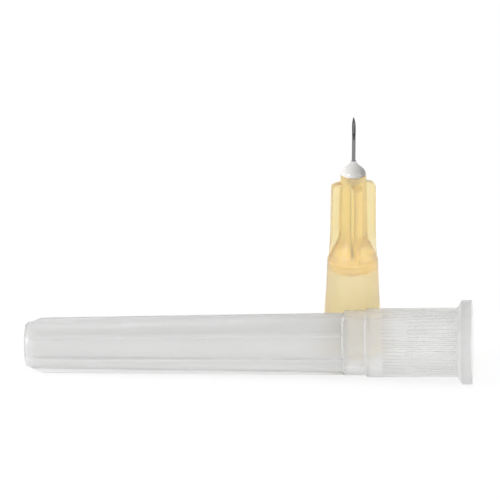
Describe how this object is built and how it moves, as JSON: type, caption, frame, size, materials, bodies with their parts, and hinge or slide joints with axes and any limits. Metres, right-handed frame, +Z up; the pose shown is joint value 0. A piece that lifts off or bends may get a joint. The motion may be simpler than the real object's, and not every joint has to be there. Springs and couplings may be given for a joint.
{
  "type": "medical needle",
  "caption": "Short hypodermic needle standing on its amber finned luer hub, with its ribbed translucent protective cap taken off and lying beside it.",
  "frame": {"origin": "on the floor, under the middle of the box of the whole object", "axes": "+X runs along the lying cap from its closed end to its mouth, +Y from the cap to the standing needle, +Z up along the needle"},
  "size_m": [0.043, 0.0144, 0.0242],
  "materials": {
    "amber_plastic": "translucent amber, satin moulded surface",
    "stainless_steel": "drawn and polished, ground at the point",
    "clear_adhesive": "clear, slightly cloudy, glossy",
    "translucent_polypropylene": "milky translucent, satin moulded surface"
  },
  "bodies": {
    "root": {"hub": "amber_plastic", "cannula": "stainless_steel", "adhesive_bead": "clear_adhesive", "protective_cap": "translucent_polypropylene"}
  },
  "joints": []
}
